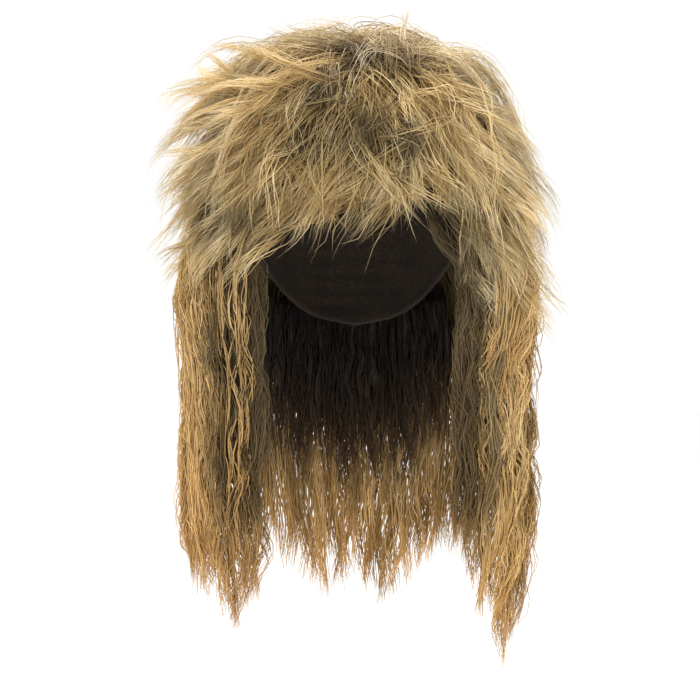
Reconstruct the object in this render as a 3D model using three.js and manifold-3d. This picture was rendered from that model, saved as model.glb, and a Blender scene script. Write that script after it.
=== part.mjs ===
// Shaggy layered wig: a hollow stretch cap with nine wefts of hair sewn round it.
// Millimetres, +Z up. The origin is the point inside the crown that rests on the wearer's head.
// The face looks along -Y. Left and right are the wearer's, so left is +X.
// An azimuth runs round the head from the middle of the forehead, positive towards the left.

import * as THREE from 'three';
import { mergeVertices } from 'three/addons/utils/BufferGeometryUtils.js';
import Module from 'manifold-3d';

const { clamp, degToRad, lerp, smoothstep } = THREE.MathUtils;

// Cap: the ellipsoid of a head 56 cm round, down to a rim that clears the face and ears.
const HEAD_HALF_WIDTH = 78;
const HEAD_HALF_LENGTH = 96;
const CROWN_HEIGHT = 105; // from the head's widest level up to the crown
const CAP_WALL = 1.5;
const CAP_RIM = [
  { azimuth: 0, height: -50 },
  { azimuth: 30, height: -54 },
  { azimuth: 55, height: -74 },
  { azimuth: 74, height: -114 },
  { azimuth: 92, height: -106 },
  { azimuth: 112, height: -118 },
  { azimuth: 145, height: -152 },
  { azimuth: 180, height: -163 },
];
const CAP_STEPS_ROUND = 30;
const CAP_STEPS_DOWN = 6;

// Wefts: each has a backing sewn to the cap, and hair that is fused to it.
const SEWN_GAP = 0.9; // at the corners of the facets, whose flats come nearer the cap
const BACKING = 4;
const BACKING_STEPS = 5;
const BACKING_CLEAR = 4; // degrees between the short layers' lower edge and the long layers' backing
const BACKING_MARGIN = 1; // degrees that a backing stays short of its neighbours and the rim
const PARTING_GAP = 1;
const CROWN_EDGE = 30; // degrees down from the crown, where the top tuft ends
const CANOPY_EDGE = 60; // and where the short layers end and the long ones begin
const NAPE_EDGE = 100; // and where the short dark hair of the nape begins
const FRINGE_HALF = 48; // azimuth where the fringe ends
const SIDE_FROM = 50; // azimuth where the long hair beside the face begins
const BACK_FROM = 130; // azimuth where the back begins

// Canopy: the short layers' outer form, from the crown's edge (way 0) to the tips of the locks.
// share is a part of the reach, which is the distance out from the head's upright axis.
const CANOPY_PROFILE = [
  { way: 0, share: 0.48, height: 48 },
  { way: 0.2, share: 0.65, height: 39 },
  { way: 0.4, share: 0.79, height: 14 },
  { way: 0.6, share: 0.91, height: -20 },
  { way: 0.8, share: 1, height: -55 },
  { way: 1, share: 0.99, height: -88 },
  { way: 1.3, share: 0.97, height: -126 },
];
// droop is how much lower the tips hang than the profile, tuck how far they turn in.
const CANOPY_REACH = [
  { azimuth: -180, reach: 148, droop: 12, tuck: 0 },
  { azimuth: -135, reach: 148, droop: 8, tuck: 0 },
  { azimuth: -90, reach: 149, droop: 0, tuck: 0.03 },
  { azimuth: -45, reach: 133, droop: 0, tuck: 0.06 },
  { azimuth: 0, reach: 121, droop: 0, tuck: 0.1 },
  { azimuth: 45, reach: 133, droop: 6, tuck: 0.06 },
  { azimuth: 90, reach: 146, droop: 23, tuck: 0 },
  { azimuth: 135, reach: 148, droop: 16, tuck: 0 },
  { azimuth: 180, reach: 148, droop: 12, tuck: 0 },
];
const DROOP_FROM = 0.5; // the way where droop and tuck begin
const BODY_END = 0.84; // the way where the solid mass ends and loose tips go on
const BODY_SINK = 3.5; // the mass lies this far below the locks that make the outer form
const CROWN_RISE = 8; // the tuft's top above its edge
const SECTOR_STEPS = 8;
const PROFILE_STEPS = 4;
const TUFT_STEPS_ROUND = 24;
const TUFT_STEPS_OUT = 4;

// Rows of locks on the canopy, and on the crown's tuft. from and to are ways along the profile;
// flick lifts the tip off the form.
const SHAG_ROWS = [
  { locks: 3, from: 0.06, to: 0.66, width: 40, depth: 17, flick: 6 },
  { locks: 3, from: 0.3, to: 0.98, width: 38, depth: 17, flick: 6 },
  { locks: 4, from: 0.5, to: 1.24, width: 34, depth: 16, flick: 4 },
];
const FRINGE_ROWS = [
  { locks: 3, from: 0.06, to: 0.66, width: 38, depth: 14, flick: 4 },
  { locks: 4, from: 0.3, to: 0.94, width: 34, depth: 14, flick: 3 },
  { locks: 6, from: 0.52, to: 1.07, width: 27, depth: 12, flick: 0 },
];
const TUFT_ROWS = [
  { locks: 4, inner: 0.1, outer: 0.64, width: 30, depth: 12, flick: 7 },
  { locks: 6, inner: 0.38, outer: 1.02, width: 30, depth: 12, flick: 5 },
];
const SHAG_LOCK_STEPS = 4;
const TUFT_LOCK_STEPS = 4;
const SHORT_SWEEP = 7; // degrees that a short lock drifts round the head
const TUFT_SWEEP = 21; // and a lock of the tuft
const SHORT_STAGGER = 0.06; // how much the ways of neighbouring locks differ

// Curtain: where the long hair hangs, as places in plan at levels below the crown. The columns run
// from the edge beside the face (round 1) by the side and the back corner to the back (round 0).
const CURTAIN_ROUND = { face: 1, side: 0.72, corner: 0.38, back: 0 };
const CURTAIN = [
  { drop: 60, faceX: 66, faceY: -56, sideX: 85, sideY: -6, cornerX: 66, cornerY: 66, backY: 98 },
  { drop: 95, faceX: 75, faceY: -62, sideX: 111, sideY: -5, cornerX: 88, cornerY: 74, backY: 118 },
  { drop: 130, faceX: 75, faceY: -63, sideX: 126, sideY: -5, cornerX: 101, cornerY: 78, backY: 130 },
  { drop: 200, faceX: 70, faceY: -66, sideX: 124, sideY: -14, cornerX: 102, cornerY: 79, backY: 127 },
  { drop: 280, faceX: 70, faceY: -80, sideX: 128, sideY: -38, cornerX: 99, cornerY: 80, backY: 120 },
  { drop: 340, faceX: 72, faceY: -94, sideX: 132, sideY: -62, cornerX: 95, cornerY: 81, backY: 117 },
  { drop: 420, faceX: 80, faceY: -104, sideX: 123, sideY: -84, cornerX: 87, cornerY: 82, backY: 116 },
];
const ROUND_TO_AZIMUTH = 128; // degrees from the back to the face edge
const LONG_EDGE = CANOPY_EDGE + BACKING_CLEAR; // where the long hair's backing starts, down from the crown
const SIDE_LOWEST = 100; // and where it ends over the ears
const BACK_LOWEST = NAPE_EDGE - BACKING_CLEAR; // and above the nape
const LEAVE_CAP = 55; // a long lock has left the cap after falling this far
const LONG_LOCK_STEPS = 8;
const LONG_WAVES = 2.6; // waves along a long lock
const LONG_ROOT = 66; // degrees down from the crown where long locks start
const SIDE_LOCK = { width: 42, depth: 16, swing: 3.5 };
const BACK_LOCK = { width: 44, depth: 16, swing: 3 };
const TAIL_CENTRE = 0.92; // round of the line that the tail gathers to
const GATHER_FROM = 0.2; // the way along a lock where the tail starts to gather
const TAIL_GATHER = 0.55; // the tail's width at its tips, as a part of its width at the top
// One row for each lock of a tail, from the face edge backwards.
const LEFT_TAIL = [
  { round: 0.97, tip: -330 },
  { round: 0.88, tip: -377 },
  { round: 0.79, tip: -384 },
  { round: 0.69, tip: -419 },
  { round: 0.585, tip: -392 },
  { round: 0.48, tip: -350 },
];
const RIGHT_TAIL = [
  { round: 0.97, tip: -368 },
  { round: 0.88, tip: -392 },
  { round: 0.79, tip: -374 },
  { round: 0.69, tip: -364 },
  { round: 0.585, tip: -352 },
  { round: 0.48, tip: -334 },
];
// One row for each lock of the back, from the right to the left.
const BACK_LOCKS = [
  { round: -0.305, tip: -342 },
  { round: -0.2, tip: -366 },
  { round: -0.1, tip: -386 },
  { round: 0, tip: -374 },
  { round: 0.1, tip: -390 },
  { round: 0.2, tip: -362 },
  { round: 0.305, tip: -346 },
];
// The nape's dark under-hair, one row for each lock.
const NAPE_ROOT = 104; // degrees down from the crown where its locks start
const NAPE_STANDOFF = 8; // from the head
const NAPE_LOCK = { width: 40, depth: 10, swing: 2 };
const NAPE_HALF = 62; // degrees of azimuth each way from the back
const NAPE_LOCKS = [
  { azimuth: 130, tip: -266 },
  { azimuth: 155, tip: -294 },
  { azimuth: 180, tip: -304 },
  { azimuth: 205, tip: -286 },
  { azimuth: 230, tip: -270 },
];

// Every lock is a flattened tube that swells from its root and tapers to a point.
const LOCK_SIDES = 4;
const LOCK_FORM = [
  { way: 0, share: 0.55 },
  { way: 0.3, share: 1 },
  { way: 0.65, share: 0.86 },
  { way: 1, share: 0.2 },
];
const STEP_ASIDE = 0.02;
const SCATTER_STEP = 12.9898;
const SCATTER_SHIFT = 4.1414;
const SCATTER_SCALE = 43758.5453;
const ROW_SEED = 31;
const HALF_SEED = 0.5;
const WELD = 1e-3;
const CUT_RADIUS = 400; // past everything, for the sectors that trim a weft
const CUT_HEIGHT = 300;
const CUT_LOW = -200;

const HAIR = { color: '#a58d5f', roughness: 0.6, metalness: 0 };
const LONG_HAIR = { color: '#94784a', roughness: 0.6, metalness: 0 };
const DARK_HAIR = { color: '#1c140d', roughness: 0.65, metalness: 0 };
const CAP_NET = { color: '#15110e', roughness: 0.9, metalness: 0 };

const wasm = await Module();
wasm.setup();

// A smooth curve through one column of a table, read at a place in its rising key column.
function readTable(table, key, column, place) {
  const last = table.length - 1;
  let row = 0;
  while (row < last - 1 && place > table[row + 1][key]) row += 1;
  const [before, low, high, after] = [row - 1, row, row + 1, row + 2]
    .map((i) => table[clamp(i, 0, last)]);
  const span = high[key] - low[key];
  const t = clamp((place - low[key]) / span, 0, 1);
  const slopeLow = span * (high[column] - before[column]) / (high[key] - before[key]);
  const slopeHigh = span * (after[column] - low[column]) / (after[key] - low[key]);
  const bend = (1 - t) * slopeLow * t * (1 - t) - t * slopeHigh * t * (1 - t);
  return lerp(low[column], high[column], t * t * (3 - 2 * t)) + bend;
}

// A steady value from -1 to 1 for each number, so that locks differ the same way each time.
function vary(number) {
  const wave = Math.sin(number * SCATTER_STEP + SCATTER_SHIFT) * SCATTER_SCALE;
  return 2 * (wave - Math.floor(wave)) - 1;
}

// An azimuth brought between -180 and 180 degrees.
function wrapped(azimuth) {
  return azimuth - 360 * Math.round(azimuth / 360);
}

// The point that lies out from the upright axis by reach, in plan, at a height.
function polarPoint(azimuth, reach, height) {
  const angle = degToRad(azimuth);
  return new THREE.Vector3(reach * Math.sin(angle), -reach * Math.cos(angle), height);
}

// The point on the head's ellipsoid, grown by offset, at an azimuth and an angle down from the crown.
function headPoint(azimuth, down, offset) {
  const angle = degToRad(azimuth);
  const ring = Math.sin(degToRad(down));
  return new THREE.Vector3(
    (HEAD_HALF_WIDTH + offset) * ring * Math.sin(angle),
    -(HEAD_HALF_LENGTH + offset) * ring * Math.cos(angle),
    (CROWN_HEIGHT + offset) * Math.cos(degToRad(down)) - CROWN_HEIGHT,
  );
}

// The angle down from the crown at which the cap's rim lies.
function rimAngle(azimuth) {
  const height = readTable(CAP_RIM, 'azimuth', 'height', Math.abs(wrapped(azimuth)));
  return THREE.MathUtils.radToDeg(Math.acos(1 + height / CROWN_HEIGHT));
}

// The canopy's outer form, moved out by lift.
function canopyPoint(azimuth, way, lift) {
  const place = wrapped(azimuth);
  const late = Math.max(0, way - DROOP_FROM) / (1 - DROOP_FROM);
  const share = readTable(CANOPY_PROFILE, 'way', 'share', way)
    - late * readTable(CANOPY_REACH, 'azimuth', 'tuck', place);
  const height = readTable(CANOPY_PROFILE, 'way', 'height', way)
    - late * readTable(CANOPY_REACH, 'azimuth', 'droop', place);
  return polarPoint(place, share * readTable(CANOPY_REACH, 'azimuth', 'reach', place) + lift, height);
}

// The crown tuft's top: out from the axis (0) to the canopy's upper edge (1).
function tuftPoint(azimuth, out, lift) {
  const edge = canopyPoint(azimuth, 0, 0);
  return new THREE.Vector3(edge.x * out, edge.y * out, edge.z + CROWN_RISE * (1 - out * out) + lift);
}

// The curtain's plan at a level: round is negative on the right, positive on the left.
function curtainPoint(round, height) {
  const column = (name) => readTable(CURTAIN, 'drop', name, -height);
  const places = [
    { round: CURTAIN_ROUND.back, x: 0, y: column('backY') },
    { round: CURTAIN_ROUND.corner, x: column('cornerX'), y: column('cornerY') },
    { round: CURTAIN_ROUND.side, x: column('sideX'), y: column('sideY') },
    { round: CURTAIN_ROUND.face, x: column('faceX'), y: column('faceY') },
  ];
  const x = Math.sign(round) * readTable(places, 'round', 'x', Math.abs(round));
  return new THREE.Vector3(x, readTable(places, 'round', 'y', Math.abs(round)), height);
}

// A closed geometry from points and triangles, welded, with its faces turned outwards.
function closedGeometry(points, triangles) {
  const loose = new THREE.BufferGeometry().setFromPoints(points).setIndex(triangles.flat());
  const welded = mergeVertices(loose, WELD);
  const index = [];
  let volume = 0;
  for (let i = 0; i < welded.index.count; i += 3) {
    const corners = [0, 1, 2].map((k) => welded.index.getX(i + k));
    if (new Set(corners).size < 3) continue;
    const [a, b, c] = corners.map((k) => (
      new THREE.Vector3().fromBufferAttribute(welded.attributes.position, k)
    ));
    volume += a.dot(b.cross(c));
    index.push(corners);
  }
  const outward = volume > 0 ? index : index.map(([a, b, c]) => [a, c, b]);
  return welded.setIndex(outward.flat());
}

// The solid between two sheets over the same unit square, each a function of (across, along).
// Sheets that go all the way round meet themselves, so they have no end walls.
function slab(inner, outer, acrossSteps, alongSteps) {
  const points = [];
  for (const sheet of [inner, outer]) {
    for (let i = 0; i <= acrossSteps; i += 1) {
      for (let j = 0; j <= alongSteps; j += 1) points.push(sheet(i / acrossSteps, j / alongSteps));
    }
  }
  const sheetSize = points.length / 2;
  const at = (sheet, i, j) => sheet * sheetSize + i * (alongSteps + 1) + j;
  const triangles = [];
  const quad = (a, b, c, d) => triangles.push([a, b, c], [a, c, d]);
  for (let i = 0; i < acrossSteps; i += 1) {
    for (let j = 0; j < alongSteps; j += 1) {
      quad(at(0, i, j), at(0, i, j + 1), at(0, i + 1, j + 1), at(0, i + 1, j));
      quad(at(1, i, j), at(1, i + 1, j), at(1, i + 1, j + 1), at(1, i, j + 1));
    }
    quad(at(0, i, 0), at(0, i + 1, 0), at(1, i + 1, 0), at(1, i, 0));
    quad(at(0, i + 1, alongSteps), at(0, i, alongSteps), at(1, i, alongSteps), at(1, i + 1, alongSteps));
  }
  const goesRound = inner(0, 1).distanceTo(inner(1, 1)) < WELD;
  for (let j = 0; j < alongSteps && !goesRound; j += 1) {
    quad(at(0, 0, j + 1), at(0, 0, j), at(1, 0, j), at(1, 0, j + 1));
    quad(at(0, acrossSteps, j), at(0, acrossSteps, j + 1), at(1, acrossSteps, j + 1), at(1, acrossSteps, j));
  }
  return closedGeometry(points, triangles);
}

// A lock along a path: flattened rings across it, as wide as width along the side direction of
// each step, and a point at the tip.
function lock(path, sides, size) {
  const steps = path.length - 1;
  const points = [path[0]];
  for (let i = 0; i < steps; i += 1) {
    const heading = path[i + 1].clone().sub(path[Math.max(i - 1, 0)]).normalize();
    const across = sides[i].clone().addScaledVector(heading, -sides[i].dot(heading)).normalize();
    const outward = heading.clone().cross(across);
    const share = readTable(LOCK_FORM, 'way', 'share', i / steps) / 2;
    for (let k = 0; k < LOCK_SIDES; k += 1) {
      const turn = (2 * Math.PI * k) / LOCK_SIDES;
      points.push(path[i].clone()
        .addScaledVector(across, size.width * share * Math.cos(turn))
        .addScaledVector(outward, size.depth * share * Math.sin(turn)));
    }
  }
  points.push(path[steps]);
  const at = (i, k) => 1 + i * LOCK_SIDES + (k % LOCK_SIDES);
  const triangles = [];
  for (let k = 0; k < LOCK_SIDES; k += 1) {
    triangles.push([0, at(0, k + 1), at(0, k)]);
    for (let i = 0; i < steps - 1; i += 1) {
      triangles.push([at(i, k), at(i, k + 1), at(i + 1, k + 1)]);
      triangles.push([at(i, k), at(i + 1, k + 1), at(i + 1, k)]);
    }
    triangles.push([at(steps - 1, k), at(steps - 1, k + 1), points.length - 1]);
  }
  return closedGeometry(points, triangles);
}

function toSolid(geometry) {
  return new wasm.Manifold(new wasm.Mesh({
    numProp: 3,
    vertProperties: geometry.attributes.position.array,
    triVerts: Uint32Array.from(geometry.index.array),
  }));
}

function toGeometry(solid) {
  const { vertProperties, triVerts } = solid.getMesh();
  return new THREE.BufferGeometry()
    .setAttribute('position', new THREE.BufferAttribute(vertProperties, 3))
    .setIndex(new THREE.BufferAttribute(triVerts, 1));
}

function fused(geometries) {
  return geometries.map(toSolid).reduce((whole, solid) => whole.add(solid));
}

function hairMesh(name, geometry, look) {
  geometry.computeVertexNormals();
  const mesh = new THREE.Mesh(geometry, new THREE.MeshStandardMaterial({ ...look, flatShading: true }));
  mesh.name = name;
  return mesh;
}

// The hollow cap, open at its rim.
function wigCap() {
  const sheet = (offset) => (across, along) => {
    const azimuth = 360 * across - 180;
    return headPoint(azimuth, rimAngle(azimuth) * along, offset);
  };
  return hairMesh('wig_cap', slab(sheet(0), sheet(CAP_WALL), CAP_STEPS_ROUND, CAP_STEPS_DOWN), CAP_NET);
}

const SEAT = CAP_WALL + SEWN_GAP; // the offset at which a backing starts

// The canopy's mass over one sector, from the cap out to the form that its locks lie on.
function canopyBody(fromAzimuth, toAzimuth) {
  const azimuthAt = (across) => lerp(fromAzimuth, toAzimuth, across);
  const inner = (across, along) => {
    const azimuth = azimuthAt(across);
    const lowest = Math.min(CANOPY_EDGE, rimAngle(azimuth) - BACKING_MARGIN);
    return headPoint(azimuth, lerp(CROWN_EDGE + BACKING_MARGIN, lowest, along), SEAT);
  };
  const outer = (across, along) => canopyPoint(azimuthAt(across), BODY_END * along, -BODY_SINK);
  return slab(inner, outer, SECTOR_STEPS, PROFILE_STEPS);
}

// One short lock, which follows the canopy between two ways and flicks out at its tip.
function canopyLock(azimuth, row, seed) {
  const sweep = SHORT_SWEEP * vary(seed);
  const stagger = SHORT_STAGGER * vary(seed + HALF_SEED);
  const path = [];
  const sides = [];
  for (let i = 0; i <= SHAG_LOCK_STEPS; i += 1) {
    const t = i / SHAG_LOCK_STEPS;
    const place = azimuth + sweep * t;
    const lift = row.flick * t * t - BODY_SINK * (1 - t);
    path.push(canopyPoint(place, lerp(row.from, row.to, t) + stagger, lift));
    sides.push(polarPoint(place + 90, 1, 0));
  }
  return lock(path, sides, row);
}

// The part of space that belongs to the crown's tuft, moved out by gap. Its side leans out from the
// tuft's edge on the cap, through the canopy's upper edge, and as far again.
function crownRegion(gap) {
  const ring = (azimuth, rise) => {
    const low = headPoint(azimuth, CROWN_EDGE, 0);
    return low.lerp(canopyPoint(azimuth, 0, 0), rise).add(polarPoint(azimuth, gap, 0));
  };
  const disc = (rise) => (across, along) => {
    const edge = ring(360 * across - 180, rise);
    return new THREE.Vector3(edge.x * along, edge.y * along, edge.z);
  };
  return toSolid(slab(disc(0), disc(2), TUFT_STEPS_ROUND, 1));
}

// The upright wedge between two azimuths, short of each by half the parting.
function sectorRegion(fromAzimuth, toAzimuth) {
  const half = (toAzimuth - fromAzimuth) / 2;
  const start = polarPoint(fromAzimuth + half, PARTING_GAP / 2 / Math.sin(degToRad(half)), 0);
  const corner = (azimuth) => {
    const far = polarPoint(azimuth, CUT_RADIUS, 0).add(start);
    return new THREE.Vector2(far.x, far.y);
  };
  const pie = new THREE.Shape([
    new THREE.Vector2(start.x, start.y),
    corner(fromAzimuth),
    corner(fromAzimuth + half),
    corner(toAzimuth),
  ]);
  const wedge = new THREE.ExtrudeGeometry(pie, { depth: CUT_HEIGHT, bevelEnabled: false });
  wedge.translate(0, 0, CUT_LOW);
  wedge.deleteAttribute('normal');
  wedge.deleteAttribute('uv');
  return toSolid(mergeVertices(wedge, WELD));
}

// A weft of the short layers: the mass of its sector with rows of locks on it.
function canopyWeft(name, fromAzimuth, toAzimuth, rows) {
  const pieces = [canopyBody(fromAzimuth, toAzimuth)];
  rows.forEach((row, rowNumber) => {
    for (let i = 0; i < row.locks; i += 1) {
      const azimuth = lerp(fromAzimuth, toAzimuth, (i + 0.5) / row.locks);
      pieces.push(canopyLock(azimuth, row, azimuth + ROW_SEED * rowNumber));
    }
  });
  const trimmed = fused(pieces)
    .intersect(sectorRegion(fromAzimuth, toAzimuth))
    .subtract(crownRegion(PARTING_GAP));
  return hairMesh(name, toGeometry(trimmed), HAIR);
}

// The tousled tuft on top: a low mound with locks that turn up and out.
function crownWeft() {
  const inner = (across, along) => headPoint(360 * across - 180, CROWN_EDGE * along, SEAT);
  const outer = (across, along) => tuftPoint(360 * across - 180, along, -BODY_SINK);
  const pieces = [slab(inner, outer, TUFT_STEPS_ROUND, TUFT_STEPS_OUT)];
  TUFT_ROWS.forEach((row, rowNumber) => {
    for (let i = 0; i < row.locks; i += 1) {
      const azimuth = 360 * (i + 0.5 * rowNumber) / row.locks;
      const path = [];
      const sides = [];
      for (let step = 0; step <= TUFT_LOCK_STEPS; step += 1) {
        const t = step / TUFT_LOCK_STEPS;
        const place = azimuth + TUFT_SWEEP * vary(azimuth) * t;
        const lift = row.flick * t * t - BODY_SINK * (1 - t);
        path.push(tuftPoint(place, lerp(row.inner, row.outer, t), lift));
        sides.push(polarPoint(place + 90, 1, 0));
      }
      pieces.push(lock(path, sides, row));
    }
  });
  return hairMesh('crown_weft', toGeometry(fused(pieces).intersect(crownRegion(0))), HAIR);
}

// A backing on the cap between two azimuths, from one angle down to another or to the rim.
function backing(fromAzimuth, toAzimuth, fromDown, toDown) {
  const sheet = (offset) => (across, along) => {
    const azimuth = lerp(fromAzimuth, toAzimuth, across);
    const lowest = Math.min(toDown, rimAngle(azimuth) - BACKING_MARGIN);
    return headPoint(azimuth, lerp(fromDown, lowest, along), offset);
  };
  return slab(sheet(SEAT), sheet(SEAT + BACKING), SECTOR_STEPS, BACKING_STEPS);
}

// One long lock: it starts on the cap, falls clear of it onto the hang, and swings a little. The hang
// is a function of the way along, the height and a step aside, which gives the lock's broad side.
function longLock(root, tip, size, hang, seed) {
  const path = [];
  const sides = [];
  for (let i = 0; i <= LONG_LOCK_STEPS; i += 1) {
    const t = i / LONG_LOCK_STEPS;
    const height = lerp(root.z, tip, t);
    const place = hang(t, height, 0);
    const side = hang(t, height, STEP_ASIDE).sub(place).normalize();
    const clear = smoothstep(root.z - height, 0, LEAVE_CAP);
    const swing = size.swing * clear * Math.sin(2 * Math.PI * (LONG_WAVES * t + vary(seed)));
    path.push(root.clone().setZ(height).lerp(place, clear).addScaledVector(side, swing));
    sides.push(side);
  }
  return lock(path, sides, size);
}

// A tail beside the face: long locks of one side, gathered forwards as they fall.
function sideWeft(name, hand, rows) {
  const pieces = [backing(hand * SIDE_FROM, hand * (BACK_FROM - BACKING_MARGIN), LONG_EDGE, SIDE_LOWEST)];
  for (const row of rows) {
    const azimuth = 180 - ROUND_TO_AZIMUTH * row.round;
    const root = headPoint(hand * azimuth, LONG_ROOT, SEAT + SIDE_LOCK.depth / 3);
    const hang = (t, height, aside) => {
      const gather = lerp(1, TAIL_GATHER, smoothstep(t, GATHER_FROM, 1));
      return curtainPoint(hand * (lerp(TAIL_CENTRE, row.round, gather) + aside), height);
    };
    pieces.push(longLock(root, row.tip, SIDE_LOCK, hang, row.round * hand));
  }
  return hairMesh(name, toGeometry(fused(pieces)), LONG_HAIR);
}

// The long hair of the back.
function backWeft() {
  const from = BACK_FROM + BACKING_MARGIN;
  const pieces = [backing(from, 360 - from, LONG_EDGE, BACK_LOWEST)];
  for (const row of BACK_LOCKS) {
    const azimuth = 180 - ROUND_TO_AZIMUTH * row.round;
    const root = headPoint(azimuth, LONG_ROOT, SEAT + BACK_LOCK.depth / 3);
    const hang = (t, height, aside) => curtainPoint(row.round + aside, height);
    pieces.push(longLock(root, row.tip, BACK_LOCK, hang, row.round));
  }
  return hairMesh('back_weft', toGeometry(fused(pieces)), LONG_HAIR);
}

// The dark under-hair of the nape, which falls straight behind the neck.
function napeWeft() {
  const pieces = [backing(180 - NAPE_HALF, 180 + NAPE_HALF, NAPE_EDGE, 180)];
  for (const row of NAPE_LOCKS) {
    const root = headPoint(row.azimuth, NAPE_ROOT, SEAT + NAPE_LOCK.depth / 3);
    const hang = (t, height, aside) => (
      headPoint(row.azimuth - ROUND_TO_AZIMUTH * aside, NAPE_ROOT, NAPE_STANDOFF).setZ(height)
    );
    pieces.push(longLock(root, row.tip, NAPE_LOCK, hang, row.azimuth));
  }
  return hairMesh('nape_weft', toGeometry(fused(pieces)), DARK_HAIR);
}

const wig = new THREE.Group();
wig.add(
  wigCap(),
  crownWeft(),
  canopyWeft('fringe_weft', -FRINGE_HALF, FRINGE_HALF, FRINGE_ROWS),
  canopyWeft('shag_weft_left', FRINGE_HALF, BACK_FROM, SHAG_ROWS),
  canopyWeft('shag_weft_right', -BACK_FROM, -FRINGE_HALF, SHAG_ROWS),
  canopyWeft('shag_weft_back', BACK_FROM, 360 - BACK_FROM, SHAG_ROWS),
  sideWeft('side_weft_left', 1, LEFT_TAIL),
  sideWeft('side_weft_right', -1, RIGHT_TAIL),
  backWeft(),
  napeWeft(),
);

export default wig;
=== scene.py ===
import bpy
import numpy as np
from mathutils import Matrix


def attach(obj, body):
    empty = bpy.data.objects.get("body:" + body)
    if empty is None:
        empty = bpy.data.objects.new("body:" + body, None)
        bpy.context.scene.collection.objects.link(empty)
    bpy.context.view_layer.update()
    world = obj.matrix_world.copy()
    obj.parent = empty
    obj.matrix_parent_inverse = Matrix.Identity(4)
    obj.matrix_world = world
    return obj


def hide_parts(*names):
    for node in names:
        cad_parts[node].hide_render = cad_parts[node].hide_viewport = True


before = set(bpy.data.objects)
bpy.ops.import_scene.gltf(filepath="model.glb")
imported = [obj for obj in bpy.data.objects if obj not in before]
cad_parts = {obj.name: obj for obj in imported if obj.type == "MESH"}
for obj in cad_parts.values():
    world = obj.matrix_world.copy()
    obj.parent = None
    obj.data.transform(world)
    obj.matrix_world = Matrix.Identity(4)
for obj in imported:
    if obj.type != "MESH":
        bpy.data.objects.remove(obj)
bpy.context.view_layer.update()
mm = 0.001  # forms are in millimetres, meshes in metres
turn = 2 * np.pi
golden = 0.618034  # steps of this share of a whole spread locks evenly
print("frame loaded")


# a dictionary whose values are also read as attributes
class Spec(dict):
    __getattr__ = dict.__getitem__


# the head, an ellipsoid inside the cap, and the cap's rim from forehead to nape
head = Spec(
    halfWidth=78, halfLength=96, crown=105, wall=1.5,
    rimAzimuth=[0, 30, 55, 74, 92, 112, 145, 180],
    rimHeight=[-50, -54, -74, -114, -106, -118, -152, -163],
    keepOff=4, leastOut=0.3,  # hair keeps this far off
)

# outer form of the short layers, by way from the crown's edge to the tips and by azimuth
canopy = Spec(
    way=[0, 0.2, 0.4, 0.6, 0.8, 1, 1.3],
    share=[0.48, 0.65, 0.79, 0.91, 1, 0.99, 0.97],  # part of the reach
    height=[48, 39, 14, -20, -55, -88, -126],
    azimuth=[-180, -135, -90, -45, 0, 45, 90, 135, 180],
    reach=[148, 148, 149, 133, 121, 133, 146, 148, 148],
    droop=[12, 8, 0, 0, 0, 6, 23, 16, 12],
    tuck=[0, 0, 0.03, 0.06, 0.1, 0.06, 0, 0, 0],
    droopFrom=0.5, rise=8, overTop=1.7, liftTurn=0.55, strayFall=130,
    edgeWay=0.04, edgeTall=0.15, edgeDrop=6,  # how the crown's edge is rounded off
)

# where the long hair hangs in plan, by drop: a row for each place round the head
curtain = Spec(
    drop=[60, 95, 130, 200, 280, 340, 420],
    round=[0, 0.38, 0.72, 1],  # back, back corner, side, face edge
    x=[[0] * 7, [66, 88, 101, 102, 99, 95, 87],
       [85, 111, 126, 124, 128, 132, 123], [66, 75, 75, 70, 70, 72, 80]],
    y=[[98, 118, 130, 127, 120, 117, 116], [66, 74, 78, 79, 80, 81, 82],
       [-6, -5, -5, -14, -38, -62, -84], [-56, -62, -63, -66, -80, -94, -104]],
    nextPoint=0.01, degrees=128,  # step for a direction, azimuth from back to face edge
)
hairMiddle = (0, 0, -60)  # short strands lie flat to the way out from here


# a cubic through the rows of a table; each row's slope comes from its two neighbours
def tableCurve(keys, values, at):
    keys, values, at = [np.asarray(given, float) for given in (keys, values, at)]
    if values.ndim == 1:
        values = values.reshape((-1,) + (1,) * at.ndim)
    values = np.broadcast_to(values, (len(keys),) + at.shape)
    low = np.clip(np.searchsorted(keys, at, side="right") - 1, 0, len(keys) - 2)
    high = low + 1
    before = np.maximum(low - 1, 0)
    after = np.minimum(low + 2, len(keys) - 1)
    fromRow, toRow, beforeRow, afterRow = [
        np.take_along_axis(values, row[None], axis=0)[0] for row in (low, high, before, after)]
    span = keys[high] - keys[low]
    t = np.clip((at - keys[low]) / span, 0, 1)
    slopeLow = span * (toRow - beforeRow) / (keys[high] - keys[before])
    slopeHigh = span * (afterRow - fromRow) / (keys[after] - keys[low])
    ease = smooth(t)
    bend = t * (1 - t) * ((1 - t) * slopeLow - t * slopeHigh)
    return fromRow * (1 - ease) + toRow * ease + bend


# eases from 0 to 1: three t squared less two t cubed, held at both ends
def smooth(t):
    t = np.clip(t, 0, 1)
    return t * t * (3 - 2 * t)


# smooth again, from 0 at a start to 1 a stretch further on
def eased(value, start, stretch):
    return smooth((value - start) / stretch)


# the first of a pair plus a share of the difference to the second
def between(pair, share):
    return pair[0] + (pair[1] - pair[0]) * share


# each vector divided by its length
def unit(v):
    return v / np.maximum(np.linalg.norm(v, axis=-1, keepdims=True), 1e-9)


# an azimuth less the whole turns in it
def wrap(azimuth):
    return azimuth - 360 * np.round(azimuth / 360)


# the way out in plan at an azimuth, from the forehead round to the wearer's left
def planWay(azimuth):
    angle = np.radians(azimuth)
    return np.stack([np.sin(angle), -np.cos(angle), np.zeros_like(angle)], -1)


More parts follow.
